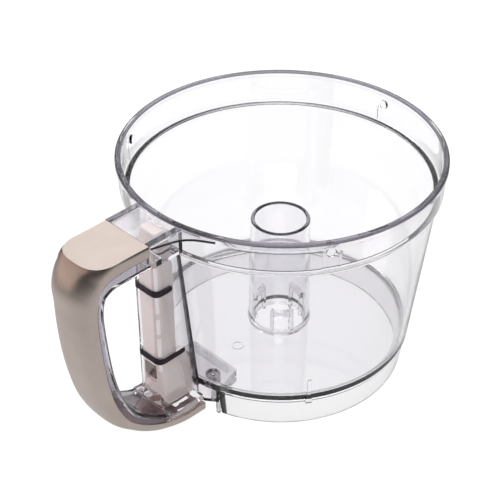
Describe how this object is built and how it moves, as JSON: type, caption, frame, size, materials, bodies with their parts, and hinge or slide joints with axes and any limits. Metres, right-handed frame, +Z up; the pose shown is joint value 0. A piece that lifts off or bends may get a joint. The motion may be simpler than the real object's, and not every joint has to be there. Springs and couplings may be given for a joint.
{
  "type": "food processor bowl",
  "caption": "Clear round work bowl with a centre tube for the drive spindle and a hollow side handle that houses a sprung interlock rod.",
  "frame": {"origin": "centre of the bounding box on the plane the bowl's skirt stands on", "axes": "+Z up along the axis of the bowl and its centre tube; the handle points along -X; +Y completes the right-handed frame"},
  "size_m": [0.2851, 0.212, 0.1573],
  "materials": {
    "clear_plastic": "clear moulded plastic, polished",
    "champagne_paint": "satin champagne metallic paint",
    "champagne_plastic": "satin champagne plastic",
    "spring_steel": "drawn spring wire",
    "zinc_steel": "zinc-plated"
  },
  "bodies": {
    "bowl_body": {"bowl": "clear_plastic", "centre_tube": "clear_plastic", "handle_bridge": "clear_plastic", "grip_liner": "clear_plastic", "handle_cover": "champagne_paint", "interlock_column": "clear_plastic", "handle_root": "clear_plastic", "return_spring": "spring_steel", "spring_seat": "champagne_plastic", "root_screw_left": "zinc_steel", "root_screw_right": "zinc_steel"},
    "rod_body": {"interlock_rod": "champagne_plastic", "rod_foot": "champagne_plastic"}
  },
  "joints": [
    {"name": "interlock_press", "type": "slide", "parent": "bowl_body", "child": "rod_body", "axis": [0, 0, 1], "range_m": [-0.006, 0], "stiffness_N_per_m": 150, "springref_m": 0.004, "deforming": ["return_spring"]}
  ]
}
